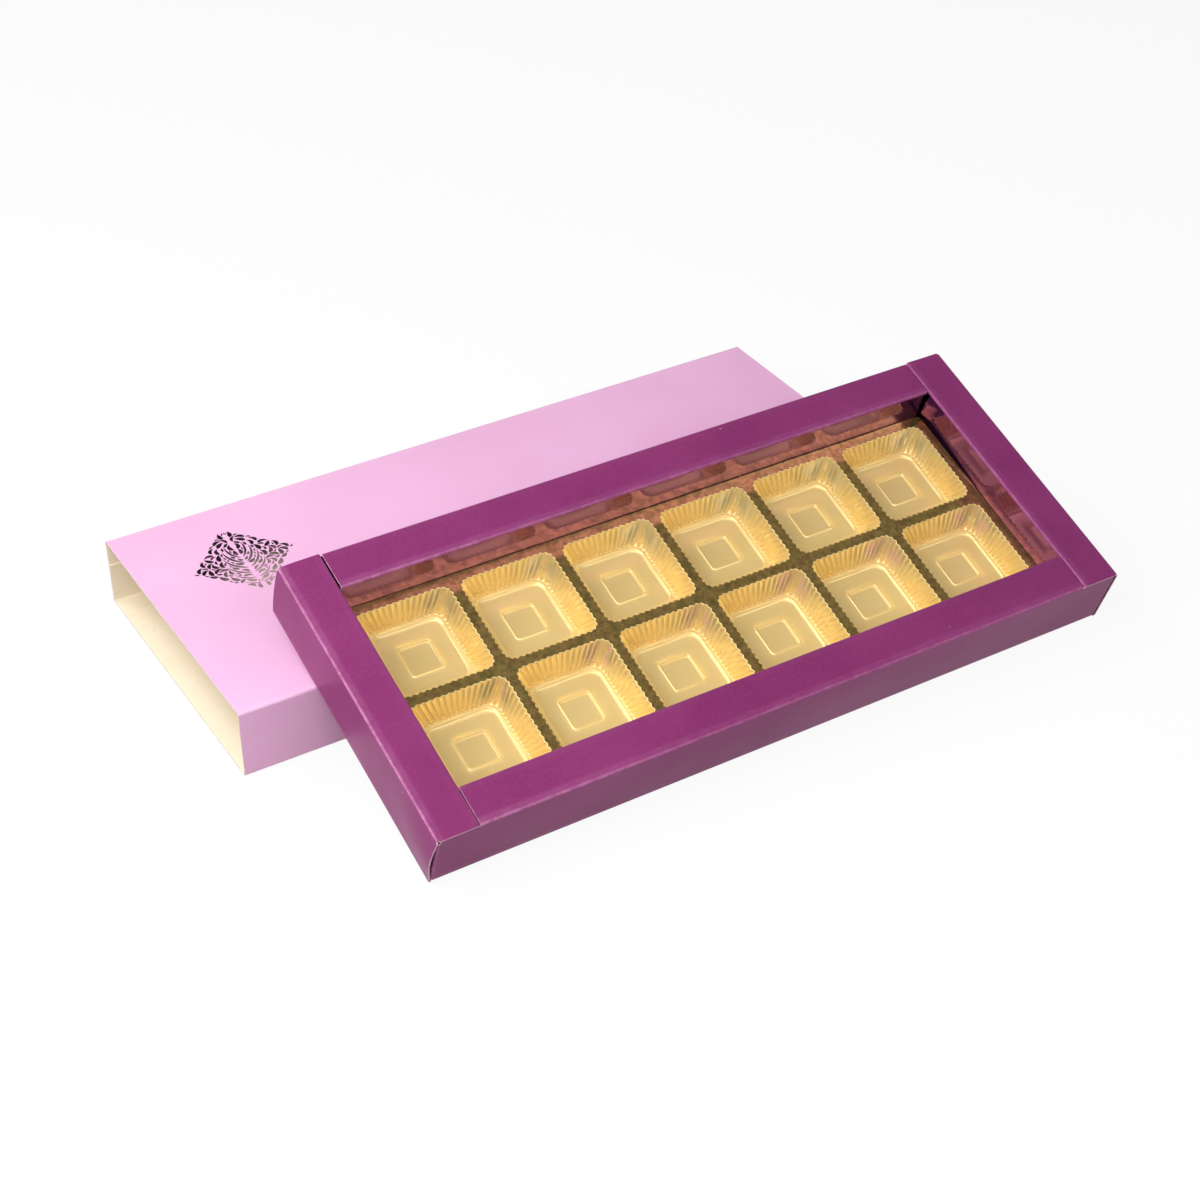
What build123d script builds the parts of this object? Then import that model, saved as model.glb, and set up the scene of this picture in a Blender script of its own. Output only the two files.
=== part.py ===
from build123d import *
from collections import namedtuple
from math import cos, radians, sin
import os

os.makedirs("parts", exist_ok=True)

# A framed chocolate box leans on the sleeve that it slides into. All lengths are in millimetres.
# The origin is the middle of the sleeve's underside, with X along the sleeve and the box in front, at -Y.

# Carton board and its folds
board = 0.5
crease = 0.9
joint_gap = 0.5
overrun = 1.0

# Formed insert: one film with a cup for each chocolate
film = 0.3
cup_columns = 6
cup_rows = 2
cup_pitch = 35.0
cup_rim = 31.0
cup_rim_corner = 3.0
cup_floor = 24.0
cup_floor_corner = 4.0
cup_depth = 8.3
recess_size = 11.0
recess_corner = 1.5
recess_depth = 0.4
insert_border = 1.2
insert_corner = 1.5
insert_play = 0.3
seat_gap = 0.1

# Framed box: a tray with hollow walls
strip_width = 13.5
headroom = 11.9
flap_length = 26.0
flap_relief = 1.5

# Sleeve round the box, open at both ends
sleeve_play = 0.25
glue_flap_width = 14.0

# How the box leans on the sleeve
lean = 19.2
box_shift = 24.2
rest_gap = 0.3

# Stamped ornament on the sleeve's top: a diamond of leaves
foil = 0.1
ornament_half_width = 17.0
ornament_half_height = 18.5
ornament_from_end = 33.3
ornament_from_front = 70.3
ornament_rows = 7
leaf_turn = 50.0
leaf_share = 0.66
leaf_bulge_share = 0.3
stem_width = 0.5

# Sizes that follow from these
insert_length = cup_columns * cup_pitch + 2 * insert_border
insert_width = cup_rows * cup_pitch + 2 * insert_border
box_length = insert_length + 2 * insert_play + 2 * strip_width
box_width = insert_width + 2 * insert_play + 2 * strip_width
recess_seat = board + seat_gap
web_height = recess_seat + film + recess_depth + cup_depth
box_height = web_height + headroom
sleeve_length = box_length
sleeve_width = box_width + 2 * sleeve_play + 3 * board
sleeve_height = box_height + 2 * sleeve_play + 2 * board

# The box's front bottom fold stands on the table, and its underside rests on the sleeve's front top fold.
# Both folds are arcs of the crease radius, so the place of the box is worked out from their centres.
slope = radians(lean)
sleeve_fold_y = crease - sleeve_width / 2
sleeve_fold_z = sleeve_height - crease
reach = (cos(slope) * (sleeve_fold_z - crease) + 2 * crease + rest_gap) / sin(slope)
box_fold_y = sleeve_fold_y - reach
corner_y = box_fold_y - crease * (cos(slope) - sin(slope))
corner_z = crease - crease * (cos(slope) + sin(slope))

# Middle of the box's underside: X along the box, Y up the slope, Z out of its open top
leaning = Plane(
    origin=(
        (box_length - sleeve_length) / 2 + box_shift,
        corner_y + box_width / 2 * cos(slope),
        corner_z + box_width / 2 * sin(slope),
    ),
    x_dir=(1, 0, 0),
    z_dir=(0, -sin(slope), cos(slope)),
)


def finish(piece, name):
    """Label a finished piece and write its STEP file."""
    piece.part.label = name
    export_step(piece.part, f"parts/{name}.step")


def folded_panel(width):
    """Face of a flat panel with a fold down at each side, from its outer edge at X = 0, top at Y = 0."""
    with BuildLine() as outline:
        first_fold = JernArc((0, -crease), (0, 1), crease, -90)
        flat = Line(first_fold @ 1, (width - crease, 0))
        JernArc(flat @ 1, (1, 0), crease, -90)
        offset(amount=board, side=Side.RIGHT)
    make_face(outline.edges())


def upright_panel(foot, head):
    """Face of an upright panel on a fold out of the base, from Y = foot up to Y = head."""
    with BuildLine() as outline:
        fold = JernArc((crease, foot), (-1, 0), crease, -90)
        Line(fold @ 1, (0, head))
        offset(amount=board, side=Side.RIGHT)
    make_face(outline.edges())


def plain_panel(inner_face, foot, head):
    """Face of a flat upright panel that ends at X = inner_face."""
    with Locations((inner_face, foot)):
        Rectangle(board, head - foot, align=(Align.MAX, Align.MIN))


# SLEEVE
# Sections across the sleeve are drawn at its left end, X to the back and Y up, and extruded to the right.
def sleeve_section(from_front, height):
    """Plane of a section at the sleeve's left end, with its zero point at a given depth and height."""
    return Plane(
        origin=(-sleeve_length / 2, from_front - sleeve_width / 2, height),
        x_dir=(0, 1, 0),
        z_dir=(1, 0, 0),
    )


with BuildPart() as sleeve_top_panel:
    with BuildSketch(sleeve_section(0, sleeve_height)):
        folded_panel(sleeve_width)
    extrude(amount=sleeve_length)
finish(sleeve_top_panel, "sleeve_top_panel")

with BuildPart() as sleeve_front_panel:
    with BuildSketch(sleeve_section(0, 0)):
        plain_panel(board, crease, sleeve_height - crease)
    extrude(amount=sleeve_length)
finish(sleeve_front_panel, "sleeve_front_panel")

# The back panel's lower edge is cut, and the glue flap stands inside it
with BuildPart() as sleeve_back_panel:
    with BuildSketch(sleeve_section(0, 0)):
        plain_panel(sleeve_width, 0, sleeve_height - crease)
    extrude(amount=sleeve_length)
finish(sleeve_back_panel, "sleeve_back_panel")

# The base is a folded panel turned over, so its section is drawn looking back along the sleeve
base_section = Plane(
    origin=(-sleeve_length / 2, sleeve_width / 2 - board, 0),
    x_dir=(0, -1, 0),
    z_dir=(1, 0, 0),
)
with BuildPart() as sleeve_base_panel:
    with BuildSketch(base_section):
        folded_panel(sleeve_width - board)
    extrude(amount=sleeve_length)
finish(sleeve_base_panel, "sleeve_base_panel")

with BuildPart() as sleeve_glue_flap:
    with BuildSketch(sleeve_section(0, 0)):
        plain_panel(sleeve_width - board, crease, glue_flap_width)
    extrude(amount=sleeve_length)
finish(sleeve_glue_flap, "sleeve_glue_flap")


# ORNAMENT
# A diamond lattice of leaves with a stem up its middle, stamped on the sleeve's top.
leaf_pitch_x = ornament_half_width / ornament_rows
leaf_pitch_y = ornament_half_height / ornament_rows


def leaf(turn):
    """A pointed leaf between two arcs, turned away from the X axis by an angle in degrees."""
    half = leaf_share * min(leaf_pitch_x, leaf_pitch_y)
    tip = (half * cos(radians(turn)), half * sin(radians(turn)))
    end = (-tip[0], -tip[1])
    with BuildSketch(mode=Mode.PRIVATE) as shape:
        with BuildLine():
            SagittaArc(end, tip, leaf_bulge_share * half)
            SagittaArc(tip, end, leaf_bulge_share * half)
        make_face()
    add(shape.sketch)


with BuildPart() as foil_ornament:
    ornament_plane = Plane(
        origin=(
            ornament_from_end - sleeve_length / 2,
            ornament_from_front - sleeve_width / 2,
            sleeve_height,
        )
    )
    with BuildSketch(ornament_plane):
        for column in range(1, ornament_rows):
            rows_here = ornament_rows - 1 - column
            for row in range(-rows_here, rows_here + 1, 2):
                for way, turn in ((1, leaf_turn), (-1, 180 - leaf_turn)):
                    with Locations((way * column * leaf_pitch_x, row * leaf_pitch_y)):
                        leaf(turn)
        Rectangle(stem_width, 2 * (ornament_half_height - leaf_pitch_y))
    extrude(amount=foil)
finish(foil_ornament, "foil_ornament")


# BOX
# Each side of the box has a corner of the underside where it starts, a way inwards and a way along.
# Going round, every side's way along turns left at the next corner.
Side_of_box = namedtuple("Side_of_box", "corner inwards along length is_end")
half_length = box_length / 2
half_width = box_width / 2
box_sides = {
    "front": Side_of_box((-half_length, -half_width), (0, 1), (1, 0), box_length, False),
    "right": Side_of_box((half_length, -half_width), (-1, 0), (0, 1), box_width, True),
    "back": Side_of_box((half_length, half_width), (0, -1), (-1, 0), box_length, False),
    "left": Side_of_box((-half_length, half_width), (1, 0), (0, -1), box_width, True),
}


def in_box(direction):
    """Turn a direction in the plan of the leaning box into a direction of the whole part."""
    return leaning.x_dir * direction[0] + leaning.y_dir * direction[1]


def box_section(side, start, height):
    """Plane square to a side of the box: X inwards from its outer face, Y up, facing along it."""
    plan_x = side.corner[0] + side.along[0] * start
    plan_y = side.corner[1] + side.along[1] * start
    return Plane(
        origin=leaning.from_local_coords((plan_x, plan_y, height)),
        x_dir=in_box(side.inwards),
        z_dir=in_box(side.along),
    )


with BuildPart() as box_base_panel:
    with BuildSketch(leaning):
        Rectangle(box_length - 2 * crease, box_width - 2 * crease)
    extrude(amount=board)
finish(box_base_panel, "box_base_panel")

# The end strips run the whole depth of the box, and the long strips butt between them
for name, side in box_sides.items():
    strip_start = 0 if side.is_end else strip_width + joint_gap
    wall_start = 0 if side.is_end else board + crease
    inner_start = strip_width + joint_gap

    with BuildPart() as outer_wall:
        with BuildSketch(box_section(side, wall_start, 0)):
            upright_panel(0, box_height - crease)
        extrude(amount=side.length - 2 * wall_start)
        if not side.is_end:
            # Under each end strip the wall stands higher, up to the strip's underside
            for lug_start in (wall_start, side.length - strip_width):
                with BuildSketch(box_section(side, lug_start, 0)):
                    plain_panel(board, box_height - crease, box_height - board)
                extrude(amount=strip_width - wall_start)
    finish(outer_wall, f"{name}_outer_wall")

    with BuildPart() as top_strip:
        with BuildSketch(box_section(side, strip_start, box_height)):
            folded_panel(strip_width)
        extrude(amount=side.length - 2 * strip_start)
        if side.is_end:
            # The outer fold stops short of the long walls' lugs, which it would run into
            for cut_start in (0, side.length - board):
                with BuildSketch(box_section(side, cut_start, box_height - board)):
                    with Locations((board, 0)):
                        Rectangle(strip_width, crease, align=(Align.MIN, Align.MAX))
                extrude(amount=board, mode=Mode.SUBTRACT)
    finish(top_strip, f"{name}_top_strip")

    with BuildPart() as inner_wall:
        with BuildSketch(box_section(side, inner_start, 0)):
            plain_panel(strip_width, board, box_height - crease)
        extrude(amount=side.length - 2 * inner_start)
    finish(inner_wall, f"{name}_inner_wall")

# A flap folds in from each end of the front and back walls, and stands behind the end wall
flap_foot = crease
flap_head = box_height - crease - flap_relief
for front_back, way_y in (("front", 1), ("back", -1)):
    for left_right, way_x in (("left", 1), ("right", -1)):
        # A plan mirrored only one way faces down, so it is drawn at the flap's head
        faces_up = way_x * way_y > 0
        flap_plan = Plane(
            origin=leaning.from_local_coords(
                (
                    -way_x * (half_length - board),
                    -way_y * half_width,
                    flap_foot if faces_up else flap_head,
                )
            ),
            x_dir=leaning.x_dir * way_x,
            z_dir=leaning.z_dir * (1 if faces_up else -1),
        )
        with BuildPart() as corner_flap:
            with BuildSketch(flap_plan):
                with BuildLine():
                    fold = JernArc((crease, 0), (-1, 0), crease, -90)
                    Line(fold @ 1, (0, flap_length))
                    offset(amount=board, side=Side.RIGHT)
                make_face()
            extrude(amount=flap_head - flap_foot)
        finish(corner_flap, f"{front_back}_{left_right}_corner_flap")


# INSERT
# One cup, drawn upright about its rim's middle: its outer form, and the hollow inside it
def cup_form(grow, cut_above):
    """A cup's tapered form, larger by grow on every side, with its rim at Z = 0."""
    drop = cup_depth + grow
    with BuildPart() as form:
        with BuildSketch(Plane.XY):
            RectangleRounded(cup_rim + 2 * grow, cup_rim + 2 * grow, cup_rim_corner + grow)
        with BuildSketch(Plane.XY.offset(-drop)):
            RectangleRounded(cup_floor + 2 * grow, cup_floor + 2 * grow, cup_floor_corner + grow)
        loft(ruled=True)
        with BuildSketch(Plane.XY.offset(-drop)):
            RectangleRounded(recess_size + 2 * grow, recess_size + 2 * grow, recess_corner + grow)
        extrude(amount=-recess_depth)
        if cut_above:
            with BuildSketch(Plane.XY):
                RectangleRounded(cup_rim, cup_rim, cup_rim_corner)
            extrude(amount=overrun)
    return form.part


cup_outside = cup_form(film, False)
cup_hollow = cup_form(0, True)

web_plane = leaning.offset(web_height)
with BuildPart() as gold_insert:
    with BuildSketch(web_plane):
        RectangleRounded(insert_length, insert_width, insert_corner)
    extrude(amount=-film)
    with Locations(web_plane):
        with GridLocations(cup_pitch, cup_pitch, cup_columns, cup_rows):
            add(cup_outside)
            add(cup_hollow, mode=Mode.SUBTRACT)
finish(gold_insert, "gold_insert")

print("box", round(box_length, 2), round(box_width, 2), round(box_height, 2))
print("sleeve", round(sleeve_length, 2), round(sleeve_width, 2), round(sleeve_height, 2))
print("middle of the box's underside", [round(v, 3) for v in leaning.origin])
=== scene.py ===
"""The looks of a framed chocolate box that leans on its sleeve: folded board, gold insert, foil stamp and studio."""

import logging
import random
from collections.abc import Callable, Iterator
from contextlib import contextmanager
from dataclasses import dataclass, replace
from enum import Enum
from math import atan2, cos, hypot, pi, radians, sin, tau

import bmesh
import bpy
from mathutils import Matrix, Vector, noise


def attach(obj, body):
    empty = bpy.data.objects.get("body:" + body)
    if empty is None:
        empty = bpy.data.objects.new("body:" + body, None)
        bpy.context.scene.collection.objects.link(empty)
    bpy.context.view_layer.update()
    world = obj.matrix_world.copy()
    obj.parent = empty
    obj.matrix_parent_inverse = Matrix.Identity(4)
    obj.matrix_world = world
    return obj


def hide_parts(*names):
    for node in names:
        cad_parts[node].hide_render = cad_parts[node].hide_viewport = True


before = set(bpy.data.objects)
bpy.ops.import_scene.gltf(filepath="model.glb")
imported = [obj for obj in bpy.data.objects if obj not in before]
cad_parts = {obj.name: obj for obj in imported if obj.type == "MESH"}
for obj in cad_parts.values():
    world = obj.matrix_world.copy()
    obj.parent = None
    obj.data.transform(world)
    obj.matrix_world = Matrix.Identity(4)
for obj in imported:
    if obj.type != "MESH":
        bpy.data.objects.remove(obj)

log = logging.getLogger("chocolate_box")

# The object's sizes are in millimetres and become metres when a piece is placed. The studio's are in metres.
MM = 0.001
SEED = 41
# A point this close to a place counts as on it
NEAR = 0.01
X, Y, Z = range(3)
UPWARDS = Vector((0, 0, 1))
LEVEL_PLACE = Matrix.Identity(4)

Colour = tuple[float, float, float]
Point = tuple[float, float, float]
Pair = tuple[float, float]
Piece = bpy.types.Object
Test = Callable[[Vector], bool]
Gauge = Callable[[Vector], float]
Move = Callable[[Vector], Vector]


class Facing(Enum):
    """The way a panel's printed face looks while it is being modelled."""

    UP = (0, 0, 1)
    DOWN = (0, 0, -1)
    FRONT = (0, -1, 0)
    BACK = (0, 1, 0)

    @property
    def is_flat(self) -> bool:
        """True for a panel that lies level."""
        return self in (Facing.UP, Facing.DOWN)


class Body(Enum):
    """The bodies of the frame that pieces ride on."""

    SLEEVE = "sleeve"
    BOX = "box"
    INSERT = "insert"


class Slot(Enum):
    """The record's material slots."""

    SLEEVE = "sleeve_board"
    BOX = "box_board"
    INSERT = "insert_film"
    FOIL = "foil"


def rgb(*screen: int) -> Colour:
    """Turns a screen colour, red, green and blue from 0 to 255, into the linear colour that a shader takes."""
    parts = [value / 255 for value in screen]
    return tuple(part / 12.92 if part <= 0.04045 else ((part + 0.055) / 1.055) ** 2.4 for part in parts)


def smooth(value: float, start: float, end: float) -> float:
    """An eased step from 0 at start to 1 at end, whichever of them is larger."""
    part = min(max((value - start) / (end - start), 0.0), 1.0)
    return part * part * (3 - 2 * part)


def dome(value: float, low: float, high: float) -> float:
    """0 at both ends of a range, 1 in its middle, and 0 outside it."""
    return sin(pi * min(max((value - low) / (high - low), 0.0), 1.0))


# SHADER NODES


class Value:
    """An output of a shader node, on which sums are written as Python sums."""

    def __init__(self, nodes: "Nodes", socket: bpy.types.NodeSocket) -> None:
        """Wraps a socket of a node tree."""
        self.nodes = nodes
        self.socket = socket

    def sum(self, operation: str, left: "Value | float", right: "Value | float", limit: bool = False) -> "Value":
        """Adds a Math node on two values, whose result may be kept between 0 and 1."""
        return self.nodes.add("ShaderNodeMath", {"operation": operation, "use_clamp": limit}, {0: left, 1: right})[0]

    def __add__(self, other: "Value | float") -> "Value":
        """This value plus another."""
        return self.sum("ADD", self, other)

    __radd__ = __add__

    def __mul__(self, other: "Value | float") -> "Value":
        """This value times another."""
        return self.sum("MULTIPLY", self, other)

    __rmul__ = __mul__

    def __sub__(self, other: "Value | float") -> "Value":
        """This value less another."""
        return self.sum("SUBTRACT", self, other)

    def __rsub__(self, other: "Value | float") -> "Value":
        """Another value less this one."""
        return self.sum("SUBTRACT", other, self)

    def band(self, start: float, end: float) -> "Value":
        """This value spread so that start becomes 0 and end becomes 1, and kept between them."""
        return self.sum("MULTIPLY", self - start, 1 / (end - start), limit=True)


class Outputs:
    """The outputs of a node, by number or name."""

    def __init__(self, nodes: "Nodes", node: bpy.types.Node) -> None:
        """Wraps a node."""
        self.nodes = nodes
        self.node = node

    def __getitem__(self, name: int | str) -> Value:
        """One output as a value."""
        return Value(self.nodes, self.node.outputs[name])


class Nodes:
    """A node tree that is filled through one method."""

    def __init__(self, tree: bpy.types.NodeTree) -> None:
        """Empties a tree."""
        self.tree = tree
        tree.nodes.clear()

    def add(self, kind: str, settings: dict | None = None, inputs: dict | None = None) -> Outputs:
        """Adds a node.

        Args:
            kind: The node's type.
            settings: Its settings, which are set first. "stops" gives a ramp's positions and colours.
            inputs: Values or links of its sockets, by number or name.

        Returns:
            The node's outputs.
        """
        node = self.tree.nodes.new(kind)
        for name, value in (settings or {}).items():
            if name == "stops":
                ramp = node.color_ramp
                while len(ramp.elements) < len(value):
                    ramp.elements.new(1.0)
                for element, (position, colour) in zip(ramp.elements, value):
                    element.position = position
                    element.color = (*colour, 1)
            else:
                setattr(node, name, value)
        for name, value in (inputs or {}).items():
            socket = node.inputs[name]
            if isinstance(value, Value):
                self.tree.links.new(value.socket, socket)
            elif isinstance(value, tuple) and len(value) == 3 and len(socket.default_value) == 4:
                socket.default_value = (*value, 1)
            else:
                socket.default_value = value
        return Outputs(self, node)

    def place(self, stretch: Point = (1, 1, 1), shift: Point = (0, 0, 0)) -> Value:
        """Object coordinates in metres, stretched along the axes and shifted."""
        at = self.add("ShaderNodeTexCoord")["Object"]
        return self.add("ShaderNodeMapping", None, {"Vector": at, "Location": shift, "Scale": stretch})[0]

    def noise(self, size: float, detail: float = 2, at: Value | None = None, rough: float = 0.5) -> Value:
        """Noise from 0 to 1, by its spots' size in millimetres, its finer layers and their strength."""
        inputs = {"Vector": at or self.place(), "Scale": 1 / (size * MM), "Detail": detail, "Roughness": rough}
        return self.add("ShaderNodeTexNoise", None, inputs)[0]

    def attribute(self, name: str) -> Value:
        """A number that is kept on the mesh."""
        return self.add("ShaderNodeAttribute", {"attribute_name": name})["Fac"]

    def mix(self, part: Value | float, first: Value | Colour, second: Value | Colour) -> Value:
        """Mixes two colours: 0 gives the first and 1 the second."""
        settings = {"data_type": "RGBA", "clamp_factor": True}
        return self.add("ShaderNodeMix", settings, {0: part, 6: first, 7: second})[2]

    def bump(self, height: Value, depth: float, strength: float = 1.0) -> Value:
        """A bump of a height from 0 to 1, where 1 is a depth in millimetres, shown at a strength."""
        inputs = {"Strength": strength, "Distance": depth * MM, "Height": height}
        return self.add("ShaderNodeBump", None, inputs)[0]

    def surface(self, inputs: dict) -> Value:
        """A Principled shader with these inputs."""
        return self.add("ShaderNodeBsdfPrincipled", None, inputs)[0]

    def output(self, shader: Value, kind: str = "ShaderNodeOutputMaterial") -> None:
        """Ends the tree in a shader."""
        self.add(kind, None, {"Surface": shader})


# FINISHES

BARK_FLECK = rgb(150, 120, 84)
DULL_GOLD = rgb(120, 92, 44)
# Tints of painted reflections in the web's film.
BROWN_PAINTED_REFLECTION = rgb(134, 88, 66)
OLIVE_PAINTED_REFLECTION = rgb(140, 138, 62)


@dataclass(frozen=True)
class Finish:
    """A finish that is the same material wherever it is used."""

    name: str

    def material(self) -> bpy.types.Material:
        """Makes the material the first time it is asked for.

        Returns:
            The material.
        """
        made = bpy.data.materials.get(self.name)
        if made is None:
            made = bpy.data.materials.new(self.name)
            made.use_nodes = True
            nodes = Nodes(made.node_tree)
            nodes.output(self.shade(nodes))
        return made

    def shade(self, nodes: Nodes) -> Value:
        """Builds the shader and returns it."""
        raise NotImplementedError


@dataclass(frozen=True)
class PrintedBoard(Finish):
    """The printed and varnished face of carton board, pale along its folds from wear and from a painted highlight."""

    colour: Colour
    cloud: Colour
    worn_and_sheen: Colour
    roughness: float
    coat: float
    specular: float
    wear: float
    specks: float = 0.0
    coat_roughness: float = 0.3
    metal: float = 0.0

    def shade(self, nodes: Nodes) -> Value:
        """Print with faint clouds, fibres that show through, folds paled by wear and a painted highlight, and a few
        specks.

        Args:
            nodes: The material's empty tree.

        Returns:
            The shader.
        """
        clouds = nodes.noise(34, 3).band(0.35, 0.68)
        fibres = nodes.noise(0.6, 3, nodes.place((0.5, 1, 1)))
        dots = nodes.noise(0.3, 2)
        # The pale folds are partly wear and partly a painted highlight, strongest on the folds that face the lamps at
        # the front left.
        fold = nodes.attribute("wear")
        patches = nodes.noise(3.2, 3, None, 0.65).band(0.36, 0.66)
        scuffs = nodes.noise(0.45, 3).band(0.42, 0.7)
        worn_and_sheen = fold * (patches * 0.55 + 0.45) * (scuffs * 0.4 + 0.6) * self.wear
        base = nodes.mix(clouds, self.colour, self.cloud)
        base = nodes.mix(fibres.band(0.4, 0.8) * 0.04, base, self.worn_and_sheen)
        if self.specks:
            cells = nodes.add("ShaderNodeTexVoronoi", None, {"Vector": nodes.place(), "Scale": 1 / (6.5 * MM)})
            lone = nodes.noise(9, 1).band(0.56, 0.62)
            speck = cells["Distance"].band(0.055, 0.035) * lone * self.specks
            base = nodes.mix(speck, base, self.worn_and_sheen)
        base = nodes.mix(worn_and_sheen, base, self.worn_and_sheen)
        rough = (fibres - 0.5) * 0.06 + (clouds - 0.5) * 0.05 + worn_and_sheen * 0.2 + self.roughness
        height = fibres * 0.6 + dots * 0.4
        return nodes.surface(
            {
                "Base Color": base,
                "Metallic": (1 - worn_and_sheen) * self.metal,
                "Roughness": rough,
                "Specular IOR Level": self.specular,
                "Coat Weight": self.coat,
                "Coat Roughness": self.coat_roughness,
                "Normal": nodes.bump(height, 0.006, 0.35),
            }
        )


@dataclass(frozen=True)
class PlainBoard(Finish):
    """The unprinted face of carton board, with fibres along the sheet."""

    colour: Colour
    shade_colour: Colour

    def shade(self, nodes: Nodes) -> Value:
        """Soft clouds, long fibres and small dark flecks.

        Args:
            nodes: The material's empty tree.

        Returns:
            The shader.
        """
        clouds = nodes.noise(22, 3).band(0.32, 0.7)
        fibres = nodes.noise(0.55, 4, nodes.place((0.16, 1, 1)), 0.6)
        flecks = nodes.noise(0.9, 2, nodes.place((0.45, 1, 1.0))).band(0.66, 0.74)
        base = nodes.mix(clouds * 0.6 + fibres * 0.3, self.colour, self.shade_colour)
        base = nodes.mix(flecks * 0.16, base, BARK_FLECK)
        return nodes.surface(
            {
                "Base Color": base,
                "Roughness": (fibres - 0.5) * 0.15 + 0.78,
                "Specular IOR Level": 0.25,
                "Normal": nodes.bump(fibres, 0.02, 0.6),
            }
        )


@dataclass(frozen=True)
class CutEdge(Finish):
    """The raw edge of the board, where its layers and torn fibres show."""

    colour: Colour
    ink: Colour

    def shade(self, nodes: Nodes) -> Value:
        """Pale fluff with the print's colour dragged over parts of it.

        Args:
            nodes: The material's empty tree.

        Returns:
            The shader.
        """
        fluff = nodes.noise(0.16, 4, None, 0.7)
        dragged = nodes.noise(1.4, 3).band(0.48, 0.7)
        base = nodes.mix(dragged * 0.5, self.colour, self.ink)
        base = nodes.mix(fluff.band(0.3, 0.7) * 0.35, base, self.ink)
        return nodes.surface({"Base Color": base, "Roughness": 0.85, "Normal": nodes.bump(fluff, 0.05, 0.8)})


@dataclass(frozen=True)
class GoldFilm(Finish):
    """Formed film with a gold metal layer, bright on the walls and satin on the flat floors."""

    high: Colour
    low: Colour
    high_roughness: float
    low_roughness: float
    grain: float
    texture: float
    high_metal: float
    low_metal: float
    painted_reflection_mottle: float = 0.0

    def shade(self, nodes: Nodes) -> Value:
        """Gold that turns from one tone and gloss at the rim to another at the floor.

        Args:
            nodes: The material's empty tree.

        Returns:
            The shader.
        """
        depth = nodes.attribute("depth")
        clouds = nodes.noise(7, 3)
        grain = nodes.noise(0.35, 2)
        base = nodes.mix(depth, self.high, self.low)
        base = nodes.mix(clouds.band(0.4, 0.72) * 0.2, base, nodes.mix(depth, self.low, self.high))
        base = nodes.mix((1 - grain).band(0.35, 0.75) * self.grain, base, DULL_GOLD)
        # Painted reflections: brown patches for the plum board and olive ones for the grey sky, mirrored in the film.
        if self.painted_reflection_mottle:
            brown_reflection = nodes.noise(1.9, 3, None, 0.6).band(0.42, 0.68)
            olive_reflection = nodes.noise(2.7, 3, nodes.place((1, 1, 1), (0.31, 0.17, 0.05)), 0.6).band(0.45, 0.7)
            base = nodes.mix(brown_reflection * self.painted_reflection_mottle, base, BROWN_PAINTED_REFLECTION)
            base = nodes.mix(olive_reflection * self.painted_reflection_mottle, base, OLIVE_PAINTED_REFLECTION)
        rough = depth * (self.low_roughness - self.high_roughness) + (clouds - 0.5) * 0.06 + self.high_roughness
        return nodes.surface(
            {
                "Base Color": base,
                "Metallic": depth * (self.low_metal - self.high_metal) + self.high_metal,
                "Roughness": rough,
                "Normal": nodes.bump(grain, self.texture, 0.5),
            }
        )


@dataclass(frozen=True)
class StampedFoil(Finish):
    """Dark mirror foil pressed on the board, with a painted silver reflection round a middle point that fades over a
    reach.
    """

    dark: Colour
    silver_reflection_and_rub: Colour
    middle: Point
    reach: float

    def shade(self, nodes: Nodes) -> Value:
        """Foil that turns from near black at the upper edges to a painted silver reflection in the lower middle.

        Args:
            nodes: The material's empty tree.

        Returns:
            The shader.
        """
        at = nodes.place((1, 1, 1), tuple(-part * MM for part in self.middle))
        spread = nodes.add("ShaderNodeVectorMath", {"operation": "LENGTH"}, {0: at})["Value"]
        patches = nodes.noise(5.5, 3)
        # Painted reflection: lighter near the middle point, fading over the reach, broken by patches.
        light = (spread * (-1 / (self.reach * MM)) + 1.15 + (patches - 0.5) * 0.7).band(0.15, 0.95)
        rubbed = nodes.noise(0.5, 3)
        base = nodes.mix(light, self.dark, self.silver_reflection_and_rub)
        base = nodes.mix(rubbed.band(0.55, 0.8) * 0.25, base, self.silver_reflection_and_rub)
        return nodes.surface(
            {
                "Base Color": base,
                "Metallic": 0.3,
                "Roughness": rubbed * 0.2 + 0.25,
                "Specular IOR Level": 0.3,
                "Normal": nodes.bump(rubbed, 0.01, 0.5),
            }
        )


@dataclass(frozen=True)
class StudioPaper(Finish):
    """White paper that keeps a faint shadow and is seen as white."""

    colour: Colour
    bounce: Colour
    glow: float

    def shade(self, nodes: Nodes) -> Value:
        """Matt paper, with some plain white for what the camera and the gloss see.

        Args:
            nodes: The material's empty tree.

        Returns:
            The shader.
        """
        rays = nodes.add("ShaderNodeLightPath")
        seen = (rays["Is Camera Ray"] + rays["Is Glossy Ray"] + rays["Is Transmission Ray"]).band(0, 1)
        paper = nodes.surface(
            {
                "Base Color": nodes.mix(seen, self.bounce, self.colour),
                "Roughness": 0.9,
                "Specular IOR Level": 0.0,
            }
        )
        white = nodes.add("ShaderNodeEmission", None, {"Color": (1.0, 1.0, 1.0), "Strength": 1.0})[0]
        return nodes.add("ShaderNodeMixShader", None, {0: seen * self.glow, 1: paper, 2: white})[0]


@dataclass(frozen=True)
class BoardFinishes:
    """The three finishes of one kind of board, in the order of a panel's material slots."""

    face: Finish
    inside: Finish
    edge: Finish

    def slots(self) -> tuple[Finish, Finish, Finish]:
        """The finishes of the printed face, the plain face and the cut edge."""
        return self.face, self.inside, self.edge


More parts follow.
